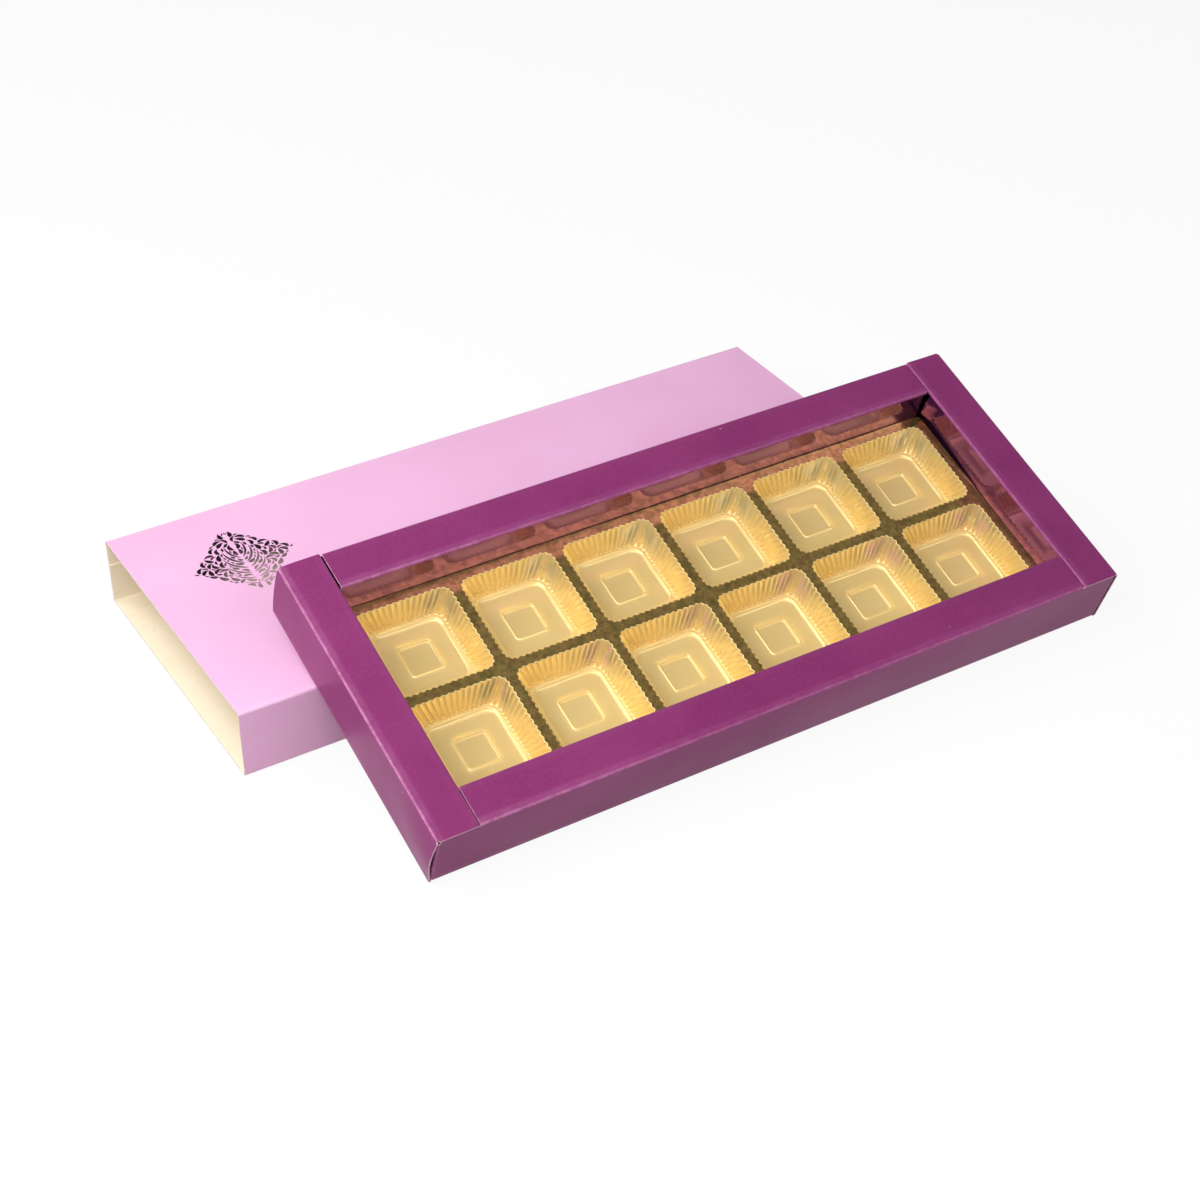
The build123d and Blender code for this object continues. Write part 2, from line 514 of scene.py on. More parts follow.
PINK_FACE = PrintedBoard(
    "pink_print",
    colour=rgb(244, 190, 228),
    cloud=rgb(240, 184, 222),
    worn_and_sheen=rgb(255, 232, 246),
    roughness=0.5,
    coat=0.1,
    specular=0.3,
    wear=0.5,
)
SLEEVE_BOARD = BoardFinishes(
    PINK_FACE,
    PlainBoard("cream_board", rgb(251, 239, 216), rgb(245, 229, 202)),
    CutEdge("cream_cut_edge", rgb(247, 238, 222), rgb(226, 190, 200)),
)
BOX_FACE = PrintedBoard(
    "plum_film",
    colour=rgb(149, 60, 119),
    cloud=rgb(139, 51, 110),
    worn_and_sheen=rgb(236, 164, 210),
    roughness=0.36,
    coat=0.0,
    specular=0.12,
    wear=0.8,
    specks=0.7,
    metal=0.15,
)
BOX_BOARD = BoardFinishes(
    BOX_FACE,
    PlainBoard("plum_dyed_board", rgb(124, 58, 98), rgb(104, 44, 82)),
    CutEdge("plum_cut_edge", rgb(252, 212, 232), rgb(186, 104, 156)),
)
WALL_FACE = replace(
    BOX_FACE,
    name="plum_film_glossy",
    colour=rgb(120, 54, 120),
    cloud=rgb(110, 46, 108),
    roughness=0.1,
    coat=0.5,
    specular=0.25,
    coat_roughness=0.05,
    metal=0.8,
    specks=0.0,
)
WALL_BOARD = replace(BOX_BOARD, face=WALL_FACE)
CUP_GOLD = GoldFilm(
    "gold_cup",
    high=rgb(255, 233, 167),
    low=rgb(252, 221, 150),
    high_roughness=0.17,
    low_roughness=0.3,
    grain=0.0,
    texture=0.003,
    high_metal=0.65,
    low_metal=0.35,
)
# The web's gold is duller and more olive than the cups', which paints in part of the dark reflection that the flat
# film shows; its mottle is painted reflection too.
WEB_GOLD = GoldFilm(
    "gold_web",
    high=rgb(232, 192, 112),
    low=rgb(236, 200, 124),
    high_roughness=0.14,
    low_roughness=0.14,
    grain=0.3,
    texture=0.02,
    high_metal=0.85,
    low_metal=0.85,
    painted_reflection_mottle=0.6,
)
# The foil's silver is a painted reflection, centred on middle.
FOIL = StampedFoil(
    "stamped_foil", dark=rgb(26, 3, 21), silver_reflection_and_rub=rgb(180, 160, 148), middle=(-84.0, 7.0, 23.0), reach=18.0
)
PAPER = StudioPaper("studio_paper", colour=rgb(255, 255, 255), bounce=rgb(180, 178, 176), glow=0.9)


# MODELLING TOOLS


def pick(*pieces: Piece) -> None:
    """Leaves only some pieces selected, with the first one active.

    Args:
        pieces: The pieces.
    """
    for piece in bpy.context.selected_objects:
        piece.select_set(False)
    for piece in pieces:
        piece.select_set(True)
    if pieces:
        bpy.context.view_layer.objects.active = pieces[0]


def fresh(name: str) -> Piece:
    """Names the piece that an operator has just made, and its mesh.

    Args:
        name: Its name.

    Returns:
        The piece.
    """
    piece = bpy.context.object
    piece.name = piece.data.name = name
    return piece


def copy_of(master: Piece) -> Piece:
    """Copies a piece and its mesh.

    Args:
        master: The piece.

    Returns:
        The copy.
    """
    copy = master.copy()
    copy.data = master.data.copy()
    bpy.context.collection.objects.link(copy)
    return copy


def join(pieces: list[Piece], name: str) -> Piece:
    """Joins pieces into the first of them.

    Args:
        pieces: The pieces.
        name: Its new name.

    Returns:
        The piece.
    """
    pick(*pieces)
    bpy.ops.object.join()
    return fresh(name)


@contextmanager
def editing(piece: Piece, whole: bool = False) -> Iterator[None]:
    """Keeps one piece in edit mode.

    Args:
        piece: The piece.
        whole: Whether the whole of its mesh is selected at first, or none of it.

    Yields:
        Nothing.
    """
    pick(piece)
    bpy.ops.object.mode_set(mode="EDIT")
    bpy.ops.mesh.select_mode(type="EDGE")
    bpy.ops.mesh.select_all(action="SELECT" if whole else "DESELECT")
    try:
        yield
    finally:
        bpy.ops.object.mode_set(mode="OBJECT")


def up_to(axis: int, place: float) -> Test:
    """A test for the points on the low side of a place along an axis."""
    return lambda at: at[axis] < place + NEAR


def beyond(axis: int, place: float) -> Test:
    """A test for the points on the high side of a place along an axis."""
    return lambda at: at[axis] > place - NEAR


def all_of(*tests: Test) -> Test:
    """A test for the points that pass each of some tests."""
    return lambda at: all(test(at) for test in tests)


def select_edges(piece: Piece, at: Test) -> None:
    """Adds edges to what is selected in edit mode.

    Args:
        piece: The piece.
        at: The test that both ends of an edge pass.
    """
    for edge in bmesh.from_edit_mesh(piece.data).edges:
        if at(edge.verts[0].co) and at(edge.verts[1].co):
            edge.select_set(True)
    bmesh.update_edit_mesh(piece.data)


def face_way(piece: Piece, middle: Vector, way: Vector) -> None:
    """Makes a sheet's faces agree, and turns them all if the one nearest a point looks the wrong way.

    Args:
        piece: The sheet.
        middle: The point.
        way: The way that face should look.
    """
    with editing(piece, whole=True):
        bpy.ops.mesh.normals_make_consistent(inside=False)
    nearest = min(piece.data.polygons, key=lambda face: (face.center - middle).length)
    if nearest.normal.dot(way) < 0:
        piece.data.flip_normals()


def apply_modifier(piece: Piece, kind: str, **settings: float | int | bool | str) -> None:
    """Adds a modifier and applies it.

    Args:
        piece: The piece.
        kind: The modifier's type.
        settings: Its settings by name.
    """
    pick(piece)
    modifier = piece.modifiers.new(kind.lower(), kind)
    for name, value in settings.items():
        setattr(modifier, name, value)
    bpy.ops.object.modifier_apply(modifier=modifier.name)


def axes(x: Point, y: Point, z: Point) -> Matrix:
    """A turn that takes X, Y and Z to these ways."""
    return Matrix((x, y, z)).transposed().to_4x4()


def aimed(at: Point, way: Vector) -> Matrix:
    """The place of a lamp or camera that stands at a point and looks one way."""
    return Matrix.Translation(at) @ way.to_track_quat("-Z", "Y").to_matrix().to_4x4()


def move_points(piece: Piece, move: Move) -> None:
    """Gives every vertex a new place, as by hand with a sculpting brush.

    Args:
        piece: The piece.
        move: Gives the new place of a point.
    """
    for vertex in piece.data.vertices:
        vertex.co = move(vertex.co.copy())
    piece.data.update()


def store(piece: Piece, name: str, value: Gauge) -> None:
    """Keeps a number on every vertex for the finish to read.

    Args:
        piece: The piece.
        name: The number's name.
        value: Gives the number at a point.
    """
    attribute = piece.data.attributes.new(name, "FLOAT", "POINT")
    for vertex, entry in zip(piece.data.vertices, attribute.data):
        entry.value = value(vertex.co)


def smooth_faces(piece: Piece, angle: float) -> None:
    """Shades a piece smooth, with its edges over an angle in degrees kept sharp."""
    pick(piece)
    bpy.ops.object.shade_smooth_by_angle(angle=radians(angle))


def settle(piece: Piece, at: Matrix, body: Body, slot: Slot, node: str) -> None:
    """Places a finished piece in the frame, where its object sits at the origin.

    Args:
        piece: The piece, in millimetres.
        at: Its place, in millimetres.
        body: What it moves with.
        slot: The record's slot of its finish; not used.
        node: The node of the frame that it stands for.
    """
    piece.data.transform(Matrix.Scale(MM, 4) @ at)
    if at.determinant() < 0:
        piece.data.flip_normals()
    piece.data.update()
    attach(piece, body.value)
    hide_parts(node)
    log.info("%s: %d faces, rides on %s", piece.name, len(piece.data.polygons), body.value)


@dataclass
class Fold:
    """A crease that a panel's edge rolls round: a point on its axis and its radius."""

    hinge: Point
    radius: float
    rub_and_sheen: float = 1.0

    def profile(self, at: Vector) -> float:
        """How pale the roll is made, by rubbing and a painted highlight: most in its middle, fading a little way onto
        the flat on each side.

        Args:
            at: The point.

        Returns:
            The rub and painted highlight at the point, from 0 to 1.
        """
        across = abs(at.y - self.hinge[1])
        up = abs(at.z - self.hinge[2])
        if abs(hypot(across, up) - self.radius) > 2 * NEAR:
            return 0.25 * self.rub_and_sheen * smooth(max(across, up), self.radius + 0.9, self.radius)
        return (0.25 + 0.75 * abs(2 * across * up) / self.radius**2) * self.rub_and_sheen


class BoardSheet:
    """One panel of board, modelled as its printed face and then given its thickness."""

    def __init__(
        self, name: str, low: Point, high: Point, facing: Facing, cell: float = 4.0, fine: float = 1.0
    ) -> None:
        """Adds a grid at its size and place.

        Args:
            name: The piece's name.
            low: Its lowest corner.
            high: Its highest corner, level with the lowest one along the way it faces.
            facing: The way its printed face looks.
            cell: About the length of the grid's cells.
            fine: About their width.
        """
        corner = Vector(low)
        size = Vector(high) - corner
        across = size.y if facing.is_flat else size.z
        pick()
        bpy.ops.mesh.primitive_grid_add(
            x_subdivisions=max(2, round(size.x / cell)),
            y_subdivisions=max(4, round(across / fine)),
            size=1,
            location=corner + size / 2,
            rotation=(0 if facing.is_flat else pi / 2, 0, 0),
        )
        self.piece = fresh(name)
        self.piece.scale = (size.x, across, 1)
        bpy.ops.object.transform_apply(location=True, rotation=True, scale=True)
        self.middle = corner + size / 2
        self.facing = facing
        self.folds: list[Fold] = []

    def score(self, *places: float) -> None:
        """Cuts edges across the panel.

        Args:
            places: Where they lie along it.
        """
        for place in places:
            with editing(self.piece, whole=True):
                bpy.ops.mesh.bisect(plane_co=(place, 0, 0), plane_no=(1, 0, 0), threshold=0.0001)

    def fold(self, at: Test, hinge: Point, turn: float, radius: float, rub_and_sheen: float = 1.0) -> None:
        """Rolls the edges that pass a test round a crease along the panel.

        Args:
            at: The test of a point.
            hinge: A point on the crease's axis.
            turn: The turn about the X axis in degrees.
            radius: The crease's radius.
            rub_and_sheen: How much it is rubbed and given a painted highlight.
        """
        with editing(self.piece):
            select_edges(self.piece, at)
            # Spin turns the other way from its axis
            bpy.ops.mesh.spin(steps=8, angle=radians(-turn), center=hinge, axis=(1, 0, 0), use_auto_merge=False)
        self.folds.append(Fold(hinge, radius, rub_and_sheen))

    def extend(self, at: Test, way: Point) -> None:
        """Draws out edges of the panel.

        Args:
            at: The test that both ends of an edge pass.
            way: The way and length that they are drawn.
        """
        with editing(self.piece):
            select_edges(self.piece, at)
            bpy.ops.mesh.extrude_edges_move(TRANSFORM_OT_translate={"value": way})

    def finish(self, board: float, finishes: BoardFinishes, wear: Gauge, bow: Move) -> None:
        """Bends the panel a little and gives it its thickness and finishes.

        Args:
            board: The board's thickness.
            finishes: Its finishes.
            wear: How pale its folds are at a point, by wear and a painted highlight, from 0 to 1.
            bow: Where each point of the panel really lies.
        """
        face_way(self.piece, self.middle, Vector(self.facing.value))
        folds = self.folds
        # The folds' pale mark is kept here: wear together with a painted highlight.
        store(self.piece, "wear", lambda at: max((fold.profile(at) for fold in folds), default=0.0) * wear(at))
        move_points(self.piece, bow)
        for finish in finishes.slots():
            self.piece.data.materials.append(finish.material())
        slots = {"material_offset": 1, "material_offset_rim": 2}
        apply_modifier(self.piece, "SOLIDIFY", thickness=board, offset=-1, use_even_offset=True, **slots)
        smooth_faces(self.piece, 35)


def waver(at: Vector, size: float, seed: float) -> float:
    """An unevenness from about -1 to 1 with waves of a size, the same on every run for a seed."""
    return noise.noise(Vector((at.x / size + seed, at.y / size - seed, at.z / size + 2 * seed)))


# THE SLEEVE


@dataclass
class Sleeve:
    """The pink sleeve: one strip of board folded round four sides and glued at the lower back."""

    length: float = 240.0
    width: float = 102.0
    height: float = 23.0
    board: float = 0.5
    crease: float = 0.9
    glue_flap: float = 14.0
    sag: float = 0.45
    belly: float = 0.3

    def top_sag(self, at: Vector) -> float:
        """How far the top hangs below its folds.

        Args:
            at: A point of its plan.

        Returns:
            The sag there.
        """
        across = dome(at.y, -self.width / 2 + self.crease, self.width / 2 - self.crease)
        ends = 0.45 + 0.55 * dome(at.x, -self.length / 2, self.length / 2)
        return self.sag * across**1.5 * ends

    def sagged(self, at: Vector) -> Vector:
        """Lowers a point of the top by its sag."""
        return at - UPWARDS * self.top_sag(at)

    def wear(self, at: Vector) -> float:
        """How pale a fold is at a point, by wear and a painted highlight: more towards the left."""
        return 0.45 + 0.4 * smooth(at.x, 20, -110)

    def build(self) -> None:
        """Builds the sleeve's five panels."""
        crease, top = self.crease, self.height
        front, back = -self.width / 2, self.width / 2
        inner_back = back - self.board
        near, far, inner_far = front + crease, back - crease, inner_back - crease
        top_folds = (up_to(Y, near), (0, near, top - crease), 90), (beyond(Y, far), (0, far, top - crease), -90)
        base_folds = (up_to(Y, near), (0, near, crease), -90), (beyond(Y, inner_far), (0, inner_far, crease), 90)
        outwards, inwards = self.bellied(1), self.bellied(-0.7)
        self.panel("sleeve_top_panel", (near, top), (far, top), Facing.UP, self.sagged, *top_folds)
        self.panel("sleeve_front_panel", (front, crease), (front, top - crease), Facing.FRONT, outwards)
        self.panel("sleeve_base_panel", (near, 0), (inner_far, 0), Facing.DOWN, lambda at: at, *base_folds)
        self.panel("sleeve_back_panel", (back, 0), (back, top - crease), Facing.BACK, inwards)
        self.panel("sleeve_glue_flap", (inner_back, crease), (inner_back, self.glue_flap), Facing.BACK, inwards)

    def panel(
        self,
        node: str,
        low: Pair,
        high: Pair,
        facing: Facing,
        bow: Move,
        *folds: tuple[Test, Point, float],
    ) -> None:
        """Builds a panel that runs the whole length of the sleeve.

        Args:
            node: The node of the frame that it stands for.
            low: Its lowest corner in the sleeve's section.
            high: Its highest corner there.
            facing: The way its printed face looks.
            bow: Where each of its points really lies.
            folds: The edges that each fold rolls, a point on its axis and its turn in degrees.
        """
        half = self.length / 2
        sheet = BoardSheet(f"{node.removesuffix('_panel')}_board", (-half, *low), (half, *high), facing)
        for edges, hinge, turn in folds:
            sheet.fold(edges, hinge, turn, self.crease)
        sheet.finish(self.board, SLEEVE_BOARD, self.wear, bow)
        settle(sheet.piece, LEVEL_PLACE, Body.SLEEVE, Slot.SLEEVE, node)

    def bellied(self, amount: float) -> Move:
        """A side that leans in or out in its middle.

        Args:
            amount: How far it leans to the back, as a part of the belly.

        Returns:
            The move of its points.
        """

        def move(at: Vector) -> Vector:
            """Moves one point.

            Args:
                at: The point.

            Returns:
                Its new place.
            """
            half = self.length / 2
            swell = dome(at.z, self.crease, self.height - self.crease) * (0.6 + 0.4 * dome(at.x, -half, half))
            return Vector((at.x, at.y + amount * self.belly * swell, at.z))

        return move


# THE FOIL STAMP


class Leaf(Enum):
    """The shapes in the foliage: points round the shape, the turn of its tip in degrees and its widest half width."""

    HOOKED = (26, 120.0, 0.175)
    FULL = (26, 60.0, 0.21)
    SLIM = (22, -105.0, 0.155)
    VEIN = (40, 62.0, 0.04)

    def __init__(self, points: int, bend: float, fat: float) -> None:
        """Keeps the shape's values."""
        self.points, self.bend, self.fat = points, bend, fat


@dataclass(frozen=True)
class Sprig:
    """One leaf or vein of the stamp: its root in millimetres, its way in degrees, its length and its shape."""

    x: float
    y: float
    way: float
    length: float
    leaf: Leaf


@dataclass
class FoilStamp:
    """A generic diamond of foliage, the same on both sides of its middle."""

    sleeve: Sleeve
    middle_x: float = -86.7
    middle_y: float = 19.3
    half_width: float = 17.0
    half_height: float = 18.5
    lift: float = 0.02
    thickness: float = 0.05
    tries: int = 30000
    gap: float = 0.17
    veins: int = 6
    choices: tuple[Leaf, ...] = (Leaf.HOOKED, Leaf.HOOKED, Leaf.FULL, Leaf.FULL, Leaf.SLIM)

    def model(self, leaf: Leaf) -> Piece:
        """Models a flat curved leaf of length 1 that starts at the origin along X.

        Args:
            leaf: Its shape.

        Returns:
            The leaf.
        """
        pick()
        bpy.ops.mesh.primitive_circle_add(vertices=leaf.points, radius=0.5, fill_type="NGON")
        piece = fresh(f"leaf_{leaf.name.lower()}")
        turn = radians(leaf.bend)

        def move(at: Vector) -> Vector:
            """Bends one point of the disc to the leaf's outline.

            Args:
                at: The point.

            Returns:
                Its new place.
            """
            along = at.x + 0.5
            side = 1 if at.y > 0 else -1 if at.y < 0 else 0
            wide = side * leaf.fat * sin(pi * along**0.72) if 0 < along < 1 else 0
            angle = turn * along
            spine = Vector((sin(angle), 1 - cos(angle), 0)) / turn
            return spine + Vector((-sin(angle), cos(angle), 0)) * wide

        move_points(piece, move)
        return piece

    def flow(self, x: float, y: float) -> float:
        """The way the foliage grows at a point right of the middle, in degrees."""
        return 72 - 50 * smooth(x, 0, self.half_width) + 24 * smooth(y, -6, 14)

    def veins_laid(self) -> list[Sprig]:
        """Lays one half's long veins, which fan out of the middle.

        Returns:
            The veins.
        """
        laid = []
        for vein in range(self.veins):
            part = vein / (self.veins - 1)
            length = 4 + 6.2 * sin(pi * (0.06 + 0.62 * part))
            laid.append(Sprig(0.4, 15 * part - 13.6, 46 * part - 2, length, Leaf.VEIN))
        return laid

    def spine(self, sprig: Sprig) -> list[tuple[Vector, float]]:
        """Steps along a leaf's middle line.

        Args:
            sprig: The leaf.

        Returns:
            Points of the line, each with the leaf's half width there.
        """
        turn = radians(sprig.leaf.bend)
        count = max(5, round(sprig.length * 1.6))
        points = []
        for number in range(count):
            along = 0.06 + 0.88 * number / (count - 1)
            at = Vector((sin(turn * along), 1 - cos(turn * along))) * sprig.length / turn
            at.rotate(Matrix.Rotation(radians(sprig.way), 2))
            wide = sprig.length * sprig.leaf.fat * sin(pi * along**0.72)
            points.append((at + Vector((sprig.x, sprig.y)), wide))
        return points

    def inside(self, at: Vector, wide: float) -> bool:
        """True where a leaf stays in the right half of the diamond."""
        return at.x > 0.12 + wide and at.x / self.half_width + abs(at.y) / self.half_height < 1 - wide / 14

    def leaves(self) -> list[Sprig]:
        """Fills one half with leaves that don't touch, the large ones first.

        Returns:
            The half's veins and leaves.
        """
        draw = random.Random(SEED)
        laid = self.veins_laid()
        spines = [self.spine(sprig) for sprig in laid]
        for number in range(self.tries):
            x, y = draw.uniform(0.2, self.half_width), draw.uniform(-self.half_height, self.half_height)
            way = self.flow(x, y) + draw.uniform(-75, 75)
            length = 3.6 - 2.3 * number / self.tries + draw.uniform(-0.3, 0.3)
            sprig = Sprig(x, y, way, length, draw.choice(self.choices))
            own = self.spine(sprig)
            if not all(self.inside(at, wide) for at, wide in own):
                continue
            near = [other for other in spines if (other[len(other) // 2][0] - own[2][0]).length < 9]
            if all(
                (at - other_at).length > wide + other_wide + self.gap
                for other in near
                for other_at, other_wide in other
                for at, wide in own
            ):
                laid.append(sprig)
                spines.append(own)
        return laid

    def build(self) -> None:
        """Models four leaves once, copies them over both halves and presses them on the sleeve."""
        masters = {leaf: self.model(leaf) for leaf in Leaf}
        copies = []
        for sprig in self.leaves():
            for side in (1, -1):
                copy = copy_of(masters[sprig.leaf])
                turn = Matrix.Rotation(radians(sprig.way), 4, "Z") @ Matrix.Scale(sprig.length, 4)
                mirror = Matrix.Diagonal((side, 1, 1, 1))
                copy.data.transform(mirror @ Matrix.Translation((sprig.x, sprig.y, 0)) @ turn)
                if side < 0:
                    copy.data.flip_normals()
                copies.append(copy)
        for master in masters.values():
            bpy.data.objects.remove(master)
        piece = join(copies, "foil_stamp")
        face_way(piece, Vector(), UPWARDS)
        for face in piece.data.polygons:
            if face.normal.z < 0:
                face.flip()
        apply_modifier(piece, "SOLIDIFY", thickness=self.thickness, offset=0)
        piece.data.materials.append(FOIL.material())
        at = Vector((self.middle_x, self.middle_y, 0))
        level = self.sleeve.height + self.lift + self.thickness / 2
        move_points(piece, lambda p: self.sleeve.sagged(p + at) + UPWARDS * level)
        settle(piece, LEVEL_PLACE, Body.SLEEVE, Slot.FOIL, "foil_ornament")


# THE BOX


class BoxSide(Enum):
    """The sides of the box.

    Each has its word in the names, the corner of the underside where it starts, the way inwards, the way along it,
    how far its strip's outer shoulder drops, and how pale its folds are by wear and a painted highlight.
    """

    FRONT = ("front", (-1, -1), (0, 1), (1, 0), 0.2, 0.5)
    RIGHT = ("right", (1, -1), (-1, 0), (0, 1), 0.12, 0.42)
    BACK = ("back", (1, 1), (0, -1), (-1, 0), 0.12, 0.5)
    LEFT = ("left", (-1, 1), (1, 0), (0, -1), 0.42, 0.95)

    def __init__(self, word: str, corner: Pair, inwards: Pair, along: Pair, shoulder: float, wear: float) -> None:
        """Keeps the side's facts."""
        self.word, self.corner, self.inwards, self.along = word, corner, inwards, along
        self.shoulder, self.wear = shoulder, wear

    @property
    def is_end(self) -> bool:
        """True for the two short sides."""
        return self in (BoxSide.RIGHT, BoxSide.LEFT)


@dataclass
class FramedBox:
    """The plum box: a base, hollow walls that roll over into strips and inner walls, and corner flaps."""

    length: float = 240.0
    width: float = 100.0
    height: float = 21.5
    board: float = 0.5
    crease: float = 0.9
    joint_gap: float = 0.5
    strip: float = 13.5
    flap_length: float = 26.0
    flap_relief: float = 1.5
    lean: float = 19.2
    middle: Point = (24.2, -70.699, 16.197)
    low_rub_and_sheen: float = 0.2
    base_rise: float = 0.06
    wall_swell: float = 0.22
    front_spring: float = 1.1
    front_spring_run: float = 26.0
    back_spring: float = 0.35
    back_spring_run: float = 30.0
    front_butt: float = 0.38
    strip_dip: float = 0.12
    dip_change: float = 0.07
    foot_swing: float = 0.25
    foot_swing_run: float = 20.0
    foot_lean: float = 0.12
    right_short: float = 0.7
    back_short: float = 1.0
    short_run: float = 30.0
    end_curl: float = 1.0
    end_curl_run: float = 5.0
    flap_swing: float = 0.8
    wall_gape: float = 1.8
    wall_gape_run: float = 44.0
    web_level: float = 9.6

    def leaning(self) -> Matrix:
        """The place of the box's level frame in the whole: the middle of its underside, turned up at the back."""
        return Matrix.Translation(self.middle) @ Matrix.Rotation(radians(self.lean), 4, "X")

    def side_frame(self, side: BoxSide) -> Matrix:
        """The place of a side's frame: X along it, Y inwards and Z up, from its corner of the underside."""
        origin = Vector((side.corner[0] * self.length / 2, side.corner[1] * self.width / 2, 0))
        return self.leaning() @ Matrix.Translation(origin) @ axes((*side.along, 0), (*side.inwards, 0), UPWARDS)

    def run_of(self, side: BoxSide) -> float:
        """The length of a side."""
        return self.width if side.is_end else self.length

    def wear_and_sheen_of(self, side: BoxSide) -> Gauge:
        """How pale a side's folds are along it, by wear and a painted highlight: most at the left end and the front
        left corner.

        Args:
            side: The side.

        Returns:
            The wear and painted highlight at a point of the side's frame.
        """
        run = self.run_of(side)

        def wear(at: Vector) -> float:
            """Wear and painted highlight at one point.

            Args:
                at: The point.

            Returns:
                The wear and painted highlight, from 0 to 1.
            """
            if side is BoxSide.FRONT:
                return side.wear + 0.45 * smooth(at.x, run * 0.4, 0)
            if side is BoxSide.BACK:
                return side.wear + 0.3 * smooth(at.x, run * 0.5, run)
            return side.wear

        return wear

    def build(self) -> None:
        """Builds the base, the four sides and the four corner flaps."""
        self.build_base()
        for side in BoxSide:
            self.build_outer_wall(side)
            self.build_top_strip(side)
            self.build_inner_wall(side)
        for front_back, way_y in (("front", 1), ("back", -1)):
            for left_right, way_x in (("left", 1), ("right", -1)):
                self.build_corner_flap(f"{front_back}_{left_right}", way_x, way_y)

    def dress(
        self, sheet: BoardSheet, node: str, at: Matrix, wear: Gauge, bow: Move, glossy: bool = False
    ) -> None:
        """Finishes a panel and places it."""
        sheet.finish(self.board, WALL_BOARD if glossy else BOX_BOARD, wear, bow)
        settle(sheet.piece, at, Body.BOX, Slot.BOX, node)

    def build_base(self) -> None:
        """The base, between the creases of the four walls, a little hollow underneath."""
        half_x = self.length / 2 - self.crease
        half_y = self.width / 2 - self.crease
        sheet = BoardSheet("box_base_board", (-half_x, -half_y, 0), (half_x, half_y, 0), Facing.DOWN)

        def bow(at: Vector) -> Vector:
            """The base rises by less than the gap under the insert."""
            return at + UPWARDS * self.base_rise * dome(at.x, -half_x, half_x) * dome(at.y, -half_y, half_y)

        self.dress(sheet, "box_base_panel", self.leaning(), lambda at: 0.0, bow)

    def build_outer_wall(self, side: BoxSide) -> None:
        """An outer wall on its fold out of the base, with a lug under each end strip on the long sides.

        Args:
            side: The side.
        """
        run = self.run_of(side)
        start = 0.0 if side.is_end else self.board + self.crease
        head = self.height - self.crease
        crease = self.crease
        low, high = (start, 0, crease), (run - start, 0, head)
        sheet = BoardSheet(f"{side.word}_wall_board", low, high, Facing.FRONT, 3.0)
        sheet.fold(up_to(Z, crease), (0, crease, crease), 90, crease)
        if not side.is_end:
            sheet.score(self.strip, run - self.strip)
            for under in (up_to(X, self.strip), beyond(X, run - self.strip)):
                at_head = all_of(beyond(Z, head), up_to(Z, head), up_to(Y, 0), under)
                sheet.extend(at_head, (0, 0, crease - self.board))

        def bow(at: Vector) -> Vector:
            """The wall swells a little, and the left one springs out at the front corner.

            Args:
                at: The point.

            Returns:
                Its new place.
            """
            up = dome(at.z, crease, head)
            out = self.wall_swell * up * dome(at.x, 0, run)
            if side is BoxSide.LEFT:
                out += self.front_spring * up**1.2 * smooth(at.x, run - self.front_spring_run, run)
                out += self.back_spring * up * smooth(at.x, self.back_spring_run, 0)
            if side is BoxSide.RIGHT:
                out *= -0.6
            return Vector((at.x, at.y - out, at.z))

        self.dress(sheet, f"{side.word}_outer_wall", self.side_frame(side), self.wear_and_sheen_of(side), bow)

    def build_top_strip(self, side: BoxSide) -> None:
        """A strip of the frame, rolled down at both its edges.

        Args:
            side: The side.
        """
        run = self.run_of(side)
        start = 0.0 if side.is_end else self.strip + self.joint_gap
        # The front strip butts closely at its left end
        near = start - self.front_butt if side is BoxSide.FRONT else start
        crease, top = self.crease, self.height
        outer, inner = crease, self.strip - crease
        low, high = (near, outer, top), (run - start, inner, top)
        sheet = BoardSheet(f"{side.word}_strip_board", low, high, Facing.UP, 3.0)
        shy = self.board if side.is_end else -1.0
        if side.is_end:
            sheet.score(shy, run - shy)
        # The folds that look to the front left, towards the lamps, get the most rub and painted highlight
        rubs_and_sheens = (1.0, self.low_rub_and_sheen) if side in (BoxSide.LEFT, BoxSide.FRONT) else (self.low_rub_and_sheen, 1.0)
        outer_edge = all_of(up_to(Y, outer), beyond(X, shy), up_to(X, run - shy))
        sheet.fold(outer_edge, (0, outer, top - crease), 90, crease, rubs_and_sheens[0])
        sheet.fold(all_of(beyond(Y, inner), beyond(Z, top)), (0, inner, top - crease), -90, crease, rubs_and_sheens[1])

        def bow(at: Vector) -> Vector:
            """The strip lies nearly flat, with its middle a little lower than its folds.

            Args:
                at: The point.

            Returns:
                Its new place.
            """
            across = dome(at.y, outer, inner) if at.z > top - NEAR else 0.0
            dip = (self.strip_dip + self.dip_change * waver(at, 40, 3.1)) * across
            shoulder = side.shoulder * (at.z - (top - crease)) / crease
            dip += shoulder * smooth(at.y, outer + 4.5, outer - 0.5)
            return Vector((at.x, at.y, at.z - dip))

        self.dress(sheet, f"{side.word}_top_strip", self.side_frame(side), self.wear_and_sheen_of(side), bow)

    def build_inner_wall(self, side: BoxSide) -> None:
        """An inner wall that hangs from its strip and stands on the base, loose at its corners.

        Args:
            side: The side.
        """
        run = self.run_of(side)
        start = self.strip + self.joint_gap
        head = self.height - self.crease
        low, high = (start, self.strip, self.board), (run - start, self.strip, head)
        sheet = BoardSheet(f"{side.word}_inner_board", low, high, Facing.BACK, 2.0, 0.5)

